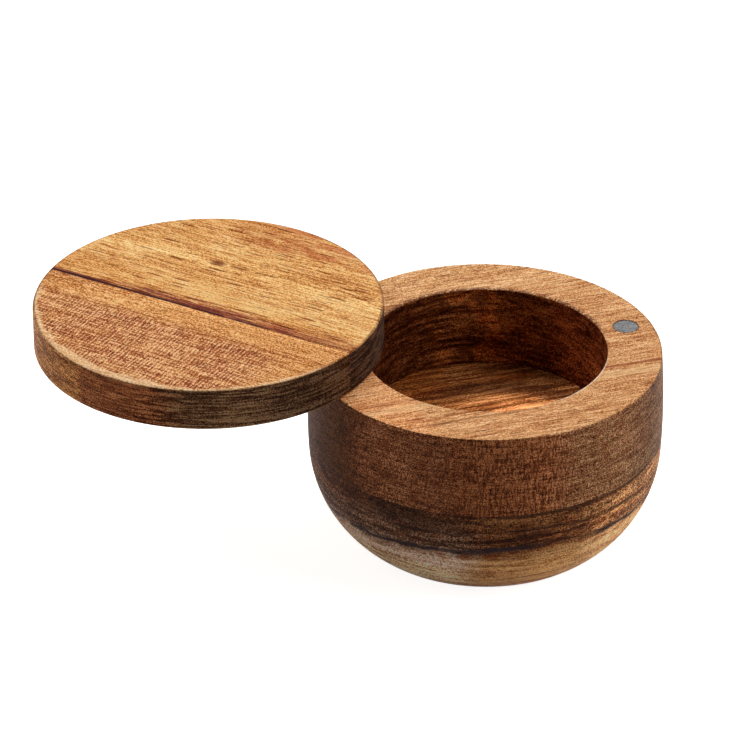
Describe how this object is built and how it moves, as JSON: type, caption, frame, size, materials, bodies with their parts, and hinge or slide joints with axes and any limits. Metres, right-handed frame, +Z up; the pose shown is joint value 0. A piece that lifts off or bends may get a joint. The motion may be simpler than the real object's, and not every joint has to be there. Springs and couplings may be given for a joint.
{
  "type": "salt box",
  "caption": "Turned wooden salt box: a round bowl with a straight-walled cavity, and a thick disc lid that swivels on an upright pin in the rim and shuts on flush magnets.",
  "frame": {"origin": "centre of the flat base of the bowl", "axes": "+Z up along the axis of the bowl; +X from the pivot pin towards the rim magnet"},
  "size_m": [0.1738, 0.129, 0.0698],
  "materials": {
    "upper_ring_wood": "oiled acacia, satin",
    "lower_block_wood": "oiled acacia, satin",
    "wide_board_wood": "oiled acacia, satin",
    "narrow_board_wood": "oiled acacia, satin",
    "pin_steel": "ground",
    "rim_magnet_metal": "matt nickel plate",
    "lid_magnet_metal": "matt nickel plate"
  },
  "bodies": {
    "bowl": {"bowl_upper_ring": "upper_ring_wood", "bowl_lower_block": "lower_block_wood", "pivot_pin": "pin_steel", "rim_magnet": "rim_magnet_metal"},
    "lid": {"lid_wide_board": "wide_board_wood", "lid_narrow_board": "narrow_board_wood", "lid_magnet": "lid_magnet_metal"}
  },
  "joints": [
    {"name": "lid_swivel", "type": "hinge", "parent": "bowl", "child": "lid", "pos_m": [-0.04225, 0, 0.0573], "axis": [0, 0, 1], "range_deg": [-137.5, 222.5]}
  ]
}
